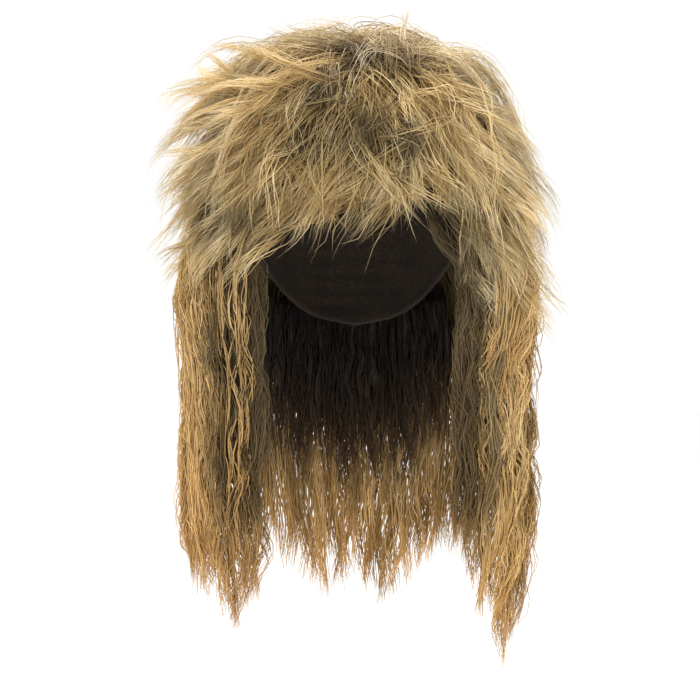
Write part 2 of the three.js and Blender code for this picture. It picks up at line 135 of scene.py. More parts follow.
# the head's ellipsoid grown by offset, at an azimuth and an angle down from the crown
def headPoint(azimuth, down, offset):
    azimuth, down, offset = np.broadcast_arrays(azimuth, down, offset)
    angle, fall = np.radians(azimuth), np.radians(down)
    x = (head.halfWidth + offset) * np.sin(fall) * np.sin(angle)
    y = -(head.halfLength + offset) * np.sin(fall) * np.cos(angle)
    z = (head.crown + offset) * np.cos(fall) - head.crown
    return np.stack([x, y, z], -1)


# the angle down from the crown where the cap's rim lies: its cosine is 1 plus rim height over crown
def rimAngle(azimuth):
    height = tableCurve(head.rimAzimuth, head.rimHeight, np.abs(wrap(azimuth)))
    return np.degrees(np.arccos(1 + height / head.crown))


# points inside the head, grown to clear the cap, go straight out onto it: offset over share of the way
def clearOfHead(points):
    middle = np.array([0, 0, -head.crown])
    size = np.array([head.halfWidth, head.halfLength, head.crown]) + head.keepOff
    share = np.linalg.norm((points - middle) / size, axis=-1, keepdims=True)
    return middle + (points - middle) / np.clip(share, head.leastOut, 1)


# a column of the short layers' form, as a cubic round the head
def canopyColumn(name, azimuth):
    return tableCurve(canopy.azimuth, canopy[name], wrap(azimuth))


# a point of that form: reach times share out, at a height; way is 0 at the crown's edge, about 1 at the
# tips and below 0 over the top; lift goes up on top and out lower down
def canopyPoint(azimuth, way, lift):
    azimuth, way, lift = np.broadcast_arrays(azimuth, way, lift)
    down = np.maximum(way, 0)
    late = np.maximum(0, down - canopy.droopFrom) / (1 - canopy.droopFrom)
    share = tableCurve(canopy.way, canopy.share, down) - late * canopyColumn("tuck", azimuth)
    height = tableCurve(canopy.way, canopy.height, down) - late * canopyColumn("droop", azimuth)
    height -= canopy.strayFall * np.maximum(0, down - canopy.way[-1])  # past the last row
    over = 1 + canopy.overTop * np.minimum(way, 0)  # 1 at the crown's edge, 0 on the axis
    height += canopy.rise * (1 - over * over)
    rising = smooth(1 - way / canopy.liftTurn) * np.pi / 2
    out = canopyColumn("reach", azimuth) * share * over + lift * np.cos(rising)
    point = planWay(wrap(azimuth)) * out[..., None]
    point[..., 2] = height + lift * np.sin(rising)
    return point


# how much lower strands lie near the crown's edge: a bell curve over way
def shoulder(way):
    return canopy.edgeDrop * np.exp(-((way - canopy.edgeWay) / canopy.edgeTall) ** 2)


# where the long hair hangs: a cubic by drop, then by place; around is 1 at the left face edge, 0 behind
def curtainPoint(around, height):
    around, height = np.broadcast_arrays(around, height)
    x, y = [
        tableCurve(curtain.round, [tableCurve(curtain.drop, row, -height) for row in rows], np.abs(around))
        for rows in (curtain.x, curtain.y)]
    return np.stack([np.sign(around) * x, y, height], -1)


# the curtain's outward direction in plan: a quarter turn from the way to its next point
def curtainOut(around, height, place):
    side = unit(curtainPoint(around + curtain.nextPoint, height) - place)
    return np.stack([-side[..., 1], side[..., 0], side[..., 2] * 0], -1)


# corners of a closed skin of rings with a pole at each end: a fan, rows of walls and a fan
def skinFaces(rings, around):
    k = np.arange(around)
    nxt = (k + 1) % around
    row = 1 + around * np.arange(rings - 1)[:, None]
    last = 1 + around * (rings - 1)
    start = np.stack([0 * k, 1 + nxt, 1 + k], -1)
    walls = np.stack([row + k, row + nxt, row + around + nxt, row + around + k], -1)
    end = np.stack([last + k, last + nxt, 0 * k + last + around], -1)
    totals = np.repeat([3, 4, 3], [around, around * (rings - 1), around])
    return np.concatenate([start.ravel(), walls.ravel(), end.ravel()]), totals


# bake map of such a skin in a unit square, less an edge: a strip for each side, a triangle at each pole
def stripUv(rowV, sides, edge):
    side = np.arange(sides)[:, None]
    wallRows = np.arange(1, len(rowV) - 2)[:, None, None] + [0, 0, 1, 1]
    corners = [([0.5, 1, 0], [0, 1, 1]), ([0, 1, 1, 0], wallRows), ([0, 1, 0.5], [-2, -2, -1])]
    uv = np.concatenate([
        np.stack(np.broadcast_arrays(side + offset, rowV[rows]), -1).reshape(-1, 2)
        for offset, rows in corners])
    return uv / [sides, 1] * (1 - 2 * edge) + edge


# a unit square of the bake map squeezed into a band of its height
def inBand(uv, band):
    return [0, band[0]] + uv * [1, band[1] - band[0]]


cellEdge = 0.04  # margins in the bake map, of a tube's cell and of a loft's band
loftEdge = 0.01
loftStreaks = 6


# closed pointed tubes along paths: an ellipse round each step, wide along the form and thin across it;
# each has a cell of its own in the bake map
def tubePart(paths, wide, thin, facing, sides, tone, deep, root, band):
    count, steps, _ = paths.shape
    rings = steps - 2
    each = sides * rings + 2
    heading = unit(np.gradient(paths, axis=1))
    side = unit(np.cross(heading, facing))
    rise = np.cross(side, heading)
    angle = turn * np.arange(sides) / sides
    flat = (wide[..., None] * np.cos(angle))[:, 1:-1, :, None] * side[:, 1:-1, None]
    tall = (thin[..., None] * np.sin(angle))[:, 1:-1, :, None] * rise[:, 1:-1, None]
    ringPoints = (paths[:, 1:-1, None] + flat + tall).reshape(count, rings * sides, 3)
    points = np.concatenate([paths[:, :1], ringPoints, paths[:, -1:]], axis=1)
    stepAlong = np.linspace(0, 1, steps)
    ringSizes = [1] + [sides] * rings + [1]
    along = np.repeat(stepAlong, ringSizes)
    ringAcross = np.abs(1 - 2 * np.arange(sides) / sides) if sides > 3 else np.full(sides, 0.5)
    across = np.concatenate([[0.5], np.tile(ringAcross, rings), [0.5]])
    loops, totals = skinFaces(rings, sides)
    grid = int(np.ceil(np.sqrt(count)))
    cell = np.stack([np.arange(count) % grid, np.arange(count) // grid], -1)
    uv = (cell[:, None] + stripUv(stepAlong, sides, cellEdge)) / grid
    return dict(
        points=points.reshape(-1, 3),
        loops=(loops + each * np.arange(count)[:, None]).ravel(),
        totals=np.tile(totals, count),
        uv=inBand(uv, band).reshape(-1, 2),
        along=(root + (1 - root) * along).ravel(),
        across=np.tile(across, count),
        tone=np.repeat(tone, each),
        deep=np.repeat(deep, ringSizes, axis=1).ravel(),
    )


# a ring's value for each of its points, and the first and last for the poles
def ringValues(values, around):
    return np.concatenate([values[:1], np.repeat(values, around), values[-1:]])


# a skin through closed rings, with a pole at the middle of each end ring
def loftPart(rings, along, tone, deep, band):
    count, around, _ = rings.shape
    points = np.concatenate([rings[0].mean(0)[None], rings.reshape(-1, 3), rings[-1].mean(0)[None]])
    loops, totals = skinFaces(count, around)
    ringAcross = loftStreaks * np.abs(1 - 2 * np.arange(around) / around)
    return dict(
        points=points, loops=loops, totals=totals,
        uv=inBand(stripUv(np.linspace(0, 1, count + 2), around, loftEdge), band),
        along=ringValues(np.broadcast_to(along, count), around),
        across=np.concatenate([[loftStreaks / 2], np.tile(ringAcross, count), [loftStreaks / 2]]),
        tone=np.full(len(points), tone),
        deep=ringValues(np.broadcast_to(deep, count), around),
    )


# faces turned over where a skin was wound inwards: the sign of its volume tells
def facingOut(part):
    starts = np.cumsum(part["totals"]) - part["totals"]
    corner = part["points"][part["loops"]]
    volume = np.sum(corner[starts] * np.cross(corner[starts + 1], corner[starts + 2]))
    quads = starts[part["totals"] == 4]
    volume += np.sum(corner[quads] * np.cross(corner[quads + 2], corner[quads + 3]))
    if volume > 0:
        return part
    order = np.arange(len(part["loops"]))
    owner = np.repeat(np.arange(len(starts)), part["totals"])
    flipped = 2 * starts[owner] + part["totals"][owner] - 1 - order
    return dict(part, loops=part["loops"][flipped], uv=part["uv"][flipped])


fibreKeys = ("along", "across", "tone", "deep")  # what each point tells the material


# a new object, linked to the scene
def newObject(name, data):
    made = bpy.data.objects.new(name, data)
    bpy.context.collection.objects.link(made)
    return made


# parts joined into one mesh: arrays end to end, corners counted on from part to part
def makePiece(name, parts, material, node):
    parts = [facingOut(part) for part in parts]
    base = np.cumsum([0] + [len(part["points"]) for part in parts[:-1]])
    loops = np.concatenate([part["loops"] + start for part, start in zip(parts, base)])
    points, totals, uv = [
        np.concatenate([part[key] for part in parts]) for key in ("points", "totals", "uv")]
    starts = np.cumsum(totals) - totals
    mesh = bpy.data.meshes.new(name)
    mesh.vertices.add(len(points))
    mesh.vertices.foreach_set("co", (points * mm).ravel())
    mesh.loops.add(len(loops))
    mesh.loops.foreach_set("vertex_index", loops.astype(np.int32))
    mesh.polygons.add(len(totals))
    mesh.polygons.foreach_set("loop_start", starts.astype(np.int32))
    mesh.polygons.foreach_set("loop_total", totals.astype(np.int32))
    mesh.uv_layers.new(name="OFBake").data.foreach_set("uv", uv.ravel())
    for key in fibreKeys:
        values = np.concatenate([part[key] for part in parts]).astype(np.float32)
        mesh.attributes.new(key, "FLOAT", "POINT").data.foreach_set("value", values)
    mesh.update()
    mesh.validate()
    mesh.shade_smooth()
    mesh.materials.append(material)
    piece = newObject(name, mesh)
    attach(piece, "root")
    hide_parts(node)
    print(name, int(np.sum(totals - 2)), "triangles")


# columns of each strand's lock and of 1 where it is loose, not the lock's middle line; steps from 0 to 1,
# the number of locks and the shape of a column
def lockIndex(spec):
    strand = np.arange(spec.locks * spec.perLock)[:, None]
    loose = (strand % spec.perLock > 0).astype(float)
    return strand // spec.perLock, loose, np.linspace(0, 1, spec.steps)[None], spec.locks, strand.shape


# a normal spread drawn for each lock, plus one for each strand
def lockSpread(rng, lock, ofLocks, ofStrands):
    return rng.normal(0, ofLocks, lock.max() + 1)[lock] + rng.normal(0, ofStrands, lock.shape)


# strands in a lock: which stray, their spread aside and in depth, and the share of it left at each step,
# 1 less gather times how far they have closed up, less so for strays
def bundle(rng, spec, loose, closed):
    stray = loose * (rng.uniform(0, 1, loose.shape) < spec.stray)
    aside = loose * rng.normal(0, spec.width, loose.shape)
    layer = loose * rng.normal(0, spec.depth, loose.shape)
    return stray, aside, layer, 1 - spec.gather * (1 - spec.strayLoose * stray) * closed


crimpForm = Spec(growOver=45, stretch=0.12, phaseDrift=2, stretchDrift=0.15)


# paths with waves added: sines of the distance, each in one direction, in step within a lock but for the
# drift of loose strands, and growing away from the root
def crimped(rng, lock, loose, paths, waves):
    steps = np.diff(paths, axis=1, prepend=paths[:, :1])
    distance = np.cumsum(np.linalg.norm(steps, axis=-1), axis=1)
    shift = np.zeros(paths.shape)
    locks, strands = lock.max() + 1, lock.shape
    grow = smooth(distance / crimpForm.growOver)
    for length, size, drift in waves:
        phase = rng.uniform(0, turn, locks)[lock]
        phase += loose * rng.normal(0, drift * crimpForm.phaseDrift, strands)
        stretch = 1 + rng.normal(0, crimpForm.stretch, locks)[lock]
        stretch += loose * rng.normal(0, drift * crimpForm.stretchDrift, strands)
        heading = unit(rng.normal(size=(locks, 3)))[lock]
        heading += (loose * drift)[..., None] * rng.normal(size=(*strands, 3))
        swing = size * np.sin(turn * distance / (length * stretch) + phase) * grow
        shift += swing[..., None] * heading
    return paths + shift


strandForm = Spec(
    spread=(0.65, 1.35), rootSlim=0.35, rootOver=0.12, tipSlim=0.75, wide=1.25, thin=0.85,
    sides=3, shade=0)
bodyForm = Spec(
    spread=(0.7, 1.3), rootSlim=0.3, rootOver=0.3, taperFrom=0.3, tipSlim=0.9, wide=1, thin=0.3, sides=6,
    shade=0.35, bake=(0.09, 0.19))


# strands as fine tubes and, where the spec asks, a flat body in each lock: a size drawn for each, slim at
# the root, full, and slim again towards the tip; a form's shade adds painted shade, on the bodies only
def lockParts(rng, spec, paths, facing, loose, tone, deep, root):
    t = np.linspace(0, 1, spec.steps)[None]
    hair = loose[:, 0] > 0
    layers = [(Spec(strandForm, taperFrom=spec.taperFrom, bake=spec.bake), spec.thick, hair)]
    if "body" in spec:
        layers.append((bodyForm, spec.body, ~hair))
    parts = []
    for form, thick, those in layers:
        size = thick * rng.uniform(*form.spread, (those.sum(), 1))
        slim = form.rootSlim + (1 - form.rootSlim) * smooth(t / form.rootOver)
        size = size * (slim * (1 - form.tipSlim * eased(t, form.taperFrom, 1 - form.taperFrom)))
        # painted shade: bodies inside the locks are darker
        shade = np.clip(deep[those] + form.shade, 0, 1)
        parts.append(tubePart(
            paths[those], form.wide * size, form.thin * size, facing[those], form.sides,
            tone[those], shade, root[those], form.bake))
    return parts


# the spot that the short locks in front come from
whorl = Spec(
    azimuth=9, way=0.22, downScale=165, asideShare=0.75, most=1.7,
    fadeFrom=75, fadeOver=65, fadeShare=0.9, hangFrom=0.45, hangOver=0.6, hangShare=0.3,
)


# a lock's lean from straight down, in radians: away from the whorl, less so behind and low down;
# and how far off the whorl is
def lean(azimuth, way):
    aside = np.radians(wrap(azimuth) - whorl.azimuth) * canopyColumn("reach", azimuth) * whorl.asideShare
    down = (way - whorl.way) * whorl.downScale
    behind = whorl.fadeShare * eased(np.abs(wrap(azimuth)), whorl.fadeFrom, whorl.fadeOver)
    hang = whorl.hangShare * eased(way, whorl.hangFrom, whorl.hangOver)
    angle = np.clip(np.arctan2(aside, down), -whorl.most, whorl.most)
    return angle * (1 - behind) * (1 - hang), np.hypot(aside, down)


# where dark roots show, and low at the sides spots of painted shade: middles, half widths in degrees and
# half heights in way
rootAndShadeSpots = dict(
    azimuth=[1, -14, 14, 18, -22, -1, 39, 41, -47],
    way=[0.65, 0.5, 0.27, 0.67, 0.66, 0.1, 1.05, 1.22, 1],
    wide=[12, 10, 12, 8, 9, 12, 7, 7, 5],
    tall=[0.1, 0.08, 0.1, 0.08, 0.08, 0.09, 0.11, 0.12, 0.07],
)
rootSpread = Spec(aside=(3.5, 2), astray=(0.035, 0.02), amount=(1.8, 3.2), share=0.92, ofStrand=(0.5, 1))


# how much dark root or painted shade shows: the highest of a bell curve over each spot, times an amount
# drawn for most locks and for each strand; all lie off a little, for ragged edges
def rootAndShadeZone(rng, lock, azimuth, way):
    spot = {key: np.array(values)[:, None, None] for key, values in rootAndShadeSpots.items()}
    locks, strands = lock.max() + 1, lock.shape
    aside = lockSpread(rng, lock, *rootSpread.aside)
    astray = lockSpread(rng, lock, *rootSpread.astray)
    acrossOff = (wrap(azimuth) + aside - spot["azimuth"]) / spot["wide"]
    downOff = (way + astray - spot["way"]) / spot["tall"]
    nearest = (acrossOff ** 2 + downOff ** 2).min(0)
    amount = rng.uniform(*rootSpread.amount, locks) * (rng.uniform(0, 1, locks) < rootSpread.share)
    return np.exp(-nearest) * (amount[lock] * rng.uniform(*rootSpread.ofStrand, strands))


# short locks made up: tone by lock and strand, deep (painted shade) by depth below the form and by the
# spots of dark root and painted shade, and root, where along the fibre a strand begins, by distance from
# the whorl
def shortLocks(rng, spec, paths, lock, loose, lift, azimuth, way, away):
    tone = np.clip(spec.tone + lockSpread(rng, lock, *spec.toneSpread), 0, 1)
    # painted shade: strands lying below the form are darker
    buried = np.maximum((-lift - spec.shadeFrom) / spec.shade, 0)
    deep = np.clip(buried + spec.rooted * rootAndShadeZone(rng, lock, azimuth, way), 0, 1)
    root = spec.rootShare * eased(away[lock], *spec.rootFrom)
    root = np.clip(root + rng.normal(0, spec.rootSpread, lock.shape), 0, spec.rootMost)
    return lockParts(rng, spec, paths, unit(paths - hairMiddle), loose, tone, deep, root)


# short layers: a lock comes from the whorl to its spot along a bent line, out from the cap through the
# mass, steeply at the sides, and flicks away at the tip by a power of its length
def canopyStrands(rng, spec):
    lock, loose, t, locks, strands = lockIndex(spec)
    order = np.arange(locks)
    spot = (order * golden + rng.uniform(0, spec.scatter, locks) / locks) % 1
    endAzimuth = between(spec.azimuth, spot)
    aroundHead = np.abs(wrap(endAzimuth))
    lowest = tableCurve(*spec.lowEdge, endAzimuth)
    endWay = between((spec.highest, lowest), ((order + 0.5) / locks) ** spec.lowBias)
    angle, whorlOff = lean(endAzimuth, endWay)
    angle += rng.normal(0, spec.tousle, locks)
    longest = spec.whorlShare * whorlOff + spec.whorlNear
    length = np.minimum(rng.uniform(*spec.length, locks), longest)
    reach = canopyColumn("reach", endAzimuth) * spec.reachShare
    startAzimuth = endAzimuth - np.degrees(np.sin(angle) * length / reach)
    startWay = np.maximum(endWay - np.cos(angle) * length / whorl.downScale, spec.startHighest)
    bend = rng.normal(spec.bend, spec.bendSpread, locks)
    upper = spec.upper * np.exp(-((endWay - spec.upperWay) / spec.upperTall) ** 2)
    upper *= 1 - eased(aroundHead, *spec.upperEnd)
    lockLift = rng.uniform(*spec.lift, locks) + upper
    flick = between(spec.flick, rng.uniform(0, 1, locks) ** spec.flickRare)
    flick *= between((spec.flickTop, 1), eased(endWay, *spec.flickFrom))
    beside = eased(aroundHead, *spec.sideFrom) - spec.backLess * eased(aroundHead, *spec.backFrom)
    inside = between(spec.inside, beside)
    stray, aside, layer, gather = bundle(rng, spec, loose, eased(t, *spec.gatherFrom))
    reachOn = 1 + loose * rng.normal(0, spec.lengthSpread, strands)
    reachOn += stray * rng.uniform(*spec.strayLength, strands)
    s = t * reachOn
    start = np.stack([startAzimuth, startWay], -1)[lock]
    end = np.stack([endAzimuth, endWay], -1)[lock]
    swerve = bend[lock][..., None] * (end - start) * [1, -1]
    course = start + (end - start) * s[..., None] + (s * (1 - s))[..., None] * swerve
    sideSwept = spec.sweep * eased(-endAzimuth, *spec.sweepAzimuth) * eased(endWay, *spec.sweepWay)
    course[..., 0] += sideSwept[lock] * (t ** 2 - 1)  # the tips stay, the roots shift
    square = np.stack([np.cos(angle), -np.sin(angle) * spec.wayShare], -1)[lock]
    course += (aside * gather)[..., None] * square * [1, spec.wayPerDegree]
    lift = lockLift[lock] - inside[lock] * (1 - t) ** spec.rootCurve
    lift += layer * gather
    tipLift = flick[lock] + stray * rng.uniform(*spec.strayFlick, strands)
    lift += tipLift * t ** spec.flickCurve
    azimuth, way = course[..., 0], course[..., 1]
    lift -= shoulder(way)
    paths = crimped(rng, lock, loose, clearOfHead(canopyPoint(azimuth, way, lift)), spec.waves)
    asideWhorl = np.radians(startAzimuth - whorl.azimuth) * spec.rootAcross
    away = np.hypot(asideWhorl, (startWay - whorl.way) * whorl.downScale)
    return shortLocks(rng, spec, paths, lock, loose, lift, azimuth, way, away)


# crown: locks lie over the top, away from the whorl, as curved lines in plan; each rises in a sine of its
# length and flicks up at the tip
def crownStrands(rng, spec):
    lock, loose, t, locks, strands = lockIndex(spec)
    order = np.arange(locks)
    ring = np.sqrt((order + rng.uniform(0, 1, locks)) / locks) * spec.spread
    angle = turn * (order * golden + rng.uniform(0, spec.scatter, locks))
    middle = np.stack([ring * np.sin(angle), -ring * np.cos(angle)], -1) + spec.middle
    away = unit(middle - spec.whorl)
    swing = rng.normal(0, spec.tousle, locks)
    turned = np.stack([away[:, 0] * np.cos(swing) - away[:, 1] * np.sin(swing),
                       away[:, 0] * np.sin(swing) + away[:, 1] * np.cos(swing)], -1)
    across = np.stack([-turned[:, 1], turned[:, 0]], -1)
    length = rng.uniform(*spec.length, locks)
    curl = rng.normal(0, spec.curl, locks) * length
    stray, aside, layer, gather = bundle(rng, spec, loose, smooth(t * spec.gatherRate))
    s = t * (1 + loose * rng.normal(0, spec.lengthSpread, strands)) - spec.rootBehind
    plan = middle[lock] + (turned * length[:, None])[lock] * s[..., None]
    sideways = curl[lock] * s * s + aside * gather
    plan += across[lock] * sideways[..., None]
    azimuth = np.degrees(np.arctan2(plan[..., 0], -plan[..., 1]))
    share = np.hypot(plan[..., 0], plan[..., 1]) / canopyColumn("reach", azimuth)
    edge = canopy.share[0]
    widest = int(np.argmax(canopy.share)) + 1
    downWay = np.interp(share, canopy.share[:widest], canopy.way[:widest])
    way = np.where(share < edge, (share / edge - 1) / canopy.overTop, downWay)
    lockLift = rng.uniform(*spec.lift, locks)
    arc = rng.uniform(*spec.arc, locks)[lock] + stray * rng.uniform(*spec.strayArc, strands)
    lift = arc * np.sin(np.pi * t ** spec.arcCurve) + lockLift[lock]
    lift = lift - spec.sink * (1 - smooth(t / spec.sinkOver)) + layer * gather
    lift += rng.uniform(*spec.flick, locks)[lock] * t ** spec.flickCurve
    paths = crimped(rng, lock, loose, canopyPoint(azimuth, way, lift - shoulder(way)), spec.waves)
    rootPlan = middle - spec.rootBehind * turned * length[:, None]
    away = np.linalg.norm(rootPlan - spec.whorl, axis=-1)
    return shortLocks(rng, spec, paths, lock, loose, lift, azimuth, way, away)


# paths that hang straight down from their roots and ease over to a place within a drop
def settled(start, place, height, within):
    hanging = np.stack(np.broadcast_arrays(start[..., 0], start[..., 1], height), -1)
    return hanging + (place - hanging) * smooth((start[..., 2] - height) / within)[..., None]


# the share of a length's width left along it: it gathers to its centre, eased in
def tailWidth(spec, t):
    return 1 + (spec.tailGather - 1) * eased(t, *spec.tailFrom)


# long layers: a lock leaves the cap, drops onto the curtain, drifts aside and waves down to its tip
def longStrands(rng, spec):
    lock, loose, t, locks, strands = lockIndex(spec)
    spot = (rng.permutation(locks) + rng.uniform(0, 1, locks)) / locks
    lockRound = between(spec.round, spot)
    tip = tableCurve(spec.tipRound, spec.tip, lockRound)
    tip += spec.shorter * rng.uniform(0, 1, locks) ** spec.shorterRare
    lockLayer = rng.uniform(*spec.layer, locks)
    _, aside, layer, gather = bundle(rng, spec, loose, eased(t, *spec.gatherFrom))
    outward = lockLayer[lock] + layer
    around = spec.centre + (lockRound[lock] - spec.centre) * tailWidth(spec, t)
    around = (around + aside * gather) * spec.hand
    azimuth = 180 - curtain.degrees * (lockRound[lock] + aside) * spec.hand
    down = spec.rootDown + rng.uniform(*spec.rootSpread, strands)
    start = headPoint(azimuth, down, spec.rootOut)
    tipHeight = tip[lock] + loose * rng.normal(0, spec.ragged, strands)
    height = start[..., 2] + (tipHeight - start[..., 2]) * t
    place = curtainPoint(around, height)
    facing = curtainOut(around, height, place)
    place[..., 0] += spec.drift * eased(-height, *spec.driftFrom)
    place += facing * (outward * gather)[..., None]
    paths = settled(start, place, height, spec.settle)
    paths = clearOfHead(crimped(rng, lock, loose, paths, spec.waves))
    tone = np.clip(spec.tone + lockSpread(rng, lock, *spec.toneSpread), 0, 1)
    # painted shade, partly dark under-hair: most locks towards the face edge go dark beside the neck;
    # locks lying further in are darker by depth (painted shade); it fades towards the low ends
    edge = eased(np.abs(lockRound), *spec.edge)
    underHairAndShade = spec.underDeep * edge * (rng.uniform(0, 1, locks) < spec.underShare)
    streak = spec.streakDeep * (rng.uniform(0, 1, locks) < spec.streaked)
    buried = spec.shadeBase - outward / spec.shade
    lightEnds = 1 - spec.endLight * eased(-height, *spec.endFrom)
    deep = np.maximum(buried, np.maximum(underHairAndShade, streak)[lock]) * lightEnds
    return lockParts(rng, spec, paths, facing, loose, tone, np.clip(deep, 0, 1), np.zeros(strands))


coreBake = (0, 0.08)
# deep darkens the core: painted shade inside the mass
shortCore = Spec(
    columns=26, outerRows=14, innerRows=7, overCap=3.2, innerTop=31, innerLow=60, rimInset=1,
    along=0.35, tone=0.3, deep=0.85, streaks=14,
)


# dense hair inside the short layers, painted dark as shade: a section from the cap to the form, carried
# round the head
def canopyCore(azimuthFrom, azimuthTo, sink, lowWay):
    azimuth = np.linspace(azimuthFrom, azimuthTo, shortCore.columns)[:, None]
    outer = canopyPoint(azimuth, np.linspace(0, lowWay, shortCore.outerRows)[None], -sink)
    lowest = np.minimum(shortCore.innerLow, rimAngle(azimuth) - shortCore.rimInset)
    rows = np.linspace(0, 1, shortCore.innerRows)[None]
    inner = headPoint(azimuth, between((lowest, shortCore.innerTop), rows), shortCore.overCap)
    rings = np.concatenate([outer, inner], axis=1)
    part = loftPart(rings, shortCore.along, shortCore.tone, shortCore.deep, coreBake)
    streaks = np.linspace(0, shortCore.streaks, len(rings))  # they run down it, as on the strands
    return dict(part, across=ringValues(streaks, rings.shape[1]))


# deep darkens the core, endLight less so low down: painted shade inside the mass
longCore = Spec(
    rows=26, columns=12, top=-78, half=3, sink=5, edge=0.03, roundness=0.5, narrowFrom=(0.5, 0.5),
    along=(0.1, 0.6), tone=0.25, deep=0.9, endLight=0.6,
)


# dense hair inside a length, painted dark as shade and lighter low down: a flat rounded section along the
# curtain, narrowing as it falls
def curtainCore(spec, roundFrom, roundTo, lowest):
    t = np.linspace(0, 1, longCore.rows)[:, None]
    height = between((longCore.top, lowest), t)
    across = np.linspace(0, 1, longCore.columns)
    loop = np.concatenate([across, across[::-1]])[None]
    side = np.repeat([1, -1], longCore.columns)[None]
    inset = np.clip(loop, longCore.edge, 1 - longCore.edge)
    face = side * np.sin(np.pi * inset) ** longCore.roundness
    narrow = 1 - spec.coreTaper * eased(t, *longCore.narrowFrom)
    around = between((roundFrom, roundTo), 0.5 + (loop - 0.5) * narrow)
    around = (spec.centre + (around - spec.centre) * tailWidth(spec, t)) * spec.hand
    around, height = np.broadcast_arrays(around, height)
    place = curtainPoint(around, height)
    place[..., 0] += spec.drift * eased(-height, *spec.driftFrom)
    out = (face * longCore.half - longCore.sink) * narrow
    rings = place + curtainOut(around, height, place) * out[..., None]
    deep = longCore.deep - longCore.endLight * eased(-height[:, 0], *spec.endFrom)
    part = loftPart(rings, np.linspace(*longCore.along, len(rings)), longCore.tone, deep, coreBake)
    return dict(part, points=clearOfHead(part["points"]))


# a shader socket with operators: each adds a Math node fed by both sides
class Wire:
    def __init__(self, tree, socket):
        self.tree = tree
        self.socket = socket

    # any node: its type, the values or links of its sockets, and its settings, which are set first
    def node(self, kind, sockets=(), output=0, **settings):
        made = self.tree.nodes.new(kind)
        for key, value in settings.items():
            if key == "stops":
                while len(made.color_ramp.elements) < len(value):
                    made.color_ramp.elements.new(0.5)
                for stop, (position, paint) in zip(made.color_ramp.elements, value):
                    stop.position = position
                    stop.color = paint
            else:
                setattr(made, key, value)
        for key, value in dict(sockets).items():
            if isinstance(value, Wire):
                self.tree.links.new(value.socket, made.inputs[key])
            else:
                made.inputs[key].default_value = value
        return Wire(self.tree, made.outputs[output])

    # one Math node on two values, held to 0 to 1 where asked
    def math(self, operation, a, b, clamp=False):
        return self.node("ShaderNodeMath", {0: a, 1: b}, operation=operation, use_clamp=clamp)

    def __add__(self, other):
        return self.math("ADD", self, other)

    def __sub__(self, other):
        return self.math("SUBTRACT", self, other)

    def __rsub__(self, other):
        return self.math("SUBTRACT", other, self)

    def __mul__(self, other):
        return self.math("MULTIPLY", self, other)

    __radd__ = __add__  # the order doesn't matter in a sum or a product
    __rmul__ = __mul__

    # two colours mixed by a factor; 6, 7 and 2 are the Mix node's colour sockets
    def mix(self, factor, a, b, blend="MIX"):
        sockets = {0: factor, 6: a, 7: b}
        return self.node("ShaderNodeMix", sockets, 2, data_type="RGBA", blend_type=blend)

    # this value goes into a socket of the shader
    def feed(self, shader, name):
        self.tree.links.new(self.socket, shader.inputs[name])


# an sRGB colour, 0 to 255, as a shader's linear values, by the standard's curve
def colour(r, g, b):
    value = np.array([r, g, b]) / 255
    linear = np.where(value <= 0.04045, value / 12.92, ((value + 0.055) / 1.055) ** 2.4)
    return (*linear, 1)


# plain values for a shader's sockets
def setInputs(shader, values):
    for key, value in values.items():
        shader.inputs[key].default_value = value


# a new material, its shader, and a wire to make nodes with
def newMaterial(name):
    material = bpy.data.materials.new(name)
    material.use_nodes = True
    return material, material.node_tree.nodes["Principled BSDF"], Wire(material.node_tree, None)


fibre = Spec(
    patchScale=55, patchDetail=3, patchShift=0.22, patchVary=0.5,  # soft patches
    grainAcross=16, grainAlong=3, grainTone=60, streakDetail=4, streakVary=1.4,  # streaks along it
    darkest=0.4, brightest=1.4, warmSlope=-0.85, warmMost=0.88, shadeMost=0.88,
    roughVary=0.2, bump=0.5, bumpHeight=0.001, specular=0.35,
)


# fibre: a colour by place from root to tip times a brightness by strand, patch and streak; darker fibre
# is tinted warm, and deep fibre goes to the shade colour: painted shade in the mass, dark roots and
# under-hair
def hairMaterial(name, stops, shade, warm, roughness=0.5):
    material, shader, make = newMaterial(name)
    along, across, tone, deep = [
        make.node("ShaderNodeAttribute", output=2, attribute_name=key) for key in fibreKeys]
    spot = make.node("ShaderNodeTexCoord", output=3)  # object coordinates
    patch = make.node("ShaderNodeTexNoise", {
        "Vector": spot, "Scale": fibre.patchScale, "Detail": fibre.patchDetail})
    grain = make.node("ShaderNodeCombineXYZ", {
        0: across * fibre.grainAcross, 1: along * fibre.grainAlong, 2: tone * fibre.grainTone})
    streak = make.node("ShaderNodeTexNoise", {
        "Vector": grain, "Scale": 1, "Detail": fibre.streakDetail})
    stops = [(position, colour(*paint)) for position, paint in stops]
    place = along + (patch - 0.5) * fibre.patchShift
    ramp = make.node("ShaderNodeValToRGB", {0: place}, stops=stops)
    vary = tone + (patch - 0.5) * fibre.patchVary + (streak - 0.5) * fibre.streakVary
    bright = make.node("ShaderNodeMapRange", {
        0: vary, 1: 0, 2: 1, 3: fibre.darkest, 4: fibre.brightest})
    grey = make.node("ShaderNodeCombineColor", {0: bright, 1: bright, 2: bright})
    lit = make.mix(1, ramp, grey, "MULTIPLY")
    slope = {0: vary, 1: fibre.warmSlope, 2: fibre.warmMost}
    warmth = make.node("ShaderNodeMath", slope, operation="MULTIPLY_ADD", use_clamp=True)
    tinted = make.mix(warmth, lit, colour(*warm), "MULTIPLY")
    # painted shade, with the dark roots and under-hair: deep takes fibre towards the shade colour
    shaded = make.math("MULTIPLY", deep, fibre.shadeMost, clamp=True)
    make.mix(shaded, tinted, colour(*shade)).feed(shader, "Base Color")
    (roughness + (tone - 0.5) * fibre.roughVary).feed(shader, "Roughness")
    relief = {"Strength": fibre.bump, "Distance": fibre.bumpHeight, "Height": streak}
    make.node("ShaderNodeBump", relief).feed(shader, "Normal")
    setInputs(shader, {"Specular IOR Level": fibre.specular})
    return material


